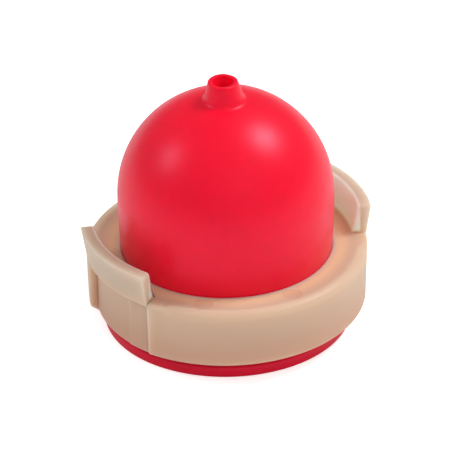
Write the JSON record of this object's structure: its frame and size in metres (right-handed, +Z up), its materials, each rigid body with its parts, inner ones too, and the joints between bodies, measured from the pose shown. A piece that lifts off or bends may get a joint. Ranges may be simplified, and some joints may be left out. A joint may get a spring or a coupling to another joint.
{
  "type": "primer bulb",
  "caption": "Hollow rubber primer bulb with a domed crown, a vented nipple and a base flange, held by a nylon retainer ring with snap tabs.",
  "frame": {"origin": "centre of the flange's flat underside, which the part rests on", "axes": "+Z up the bulb's axis towards the nipple, -Y towards the viewer of the picture, +X to the viewer's right"},
  "size_m": [0.0278, 0.027, 0.0256],
  "materials": {
    "rubber": "smooth satin red, faintly mottled",
    "nylon": "natural tan, slightly translucent, satin as moulded"
  },
  "bodies": {
    "root": {"rubber_bulb": "rubber", "retainer_ring": "nylon"}
  },
  "joints": []
}
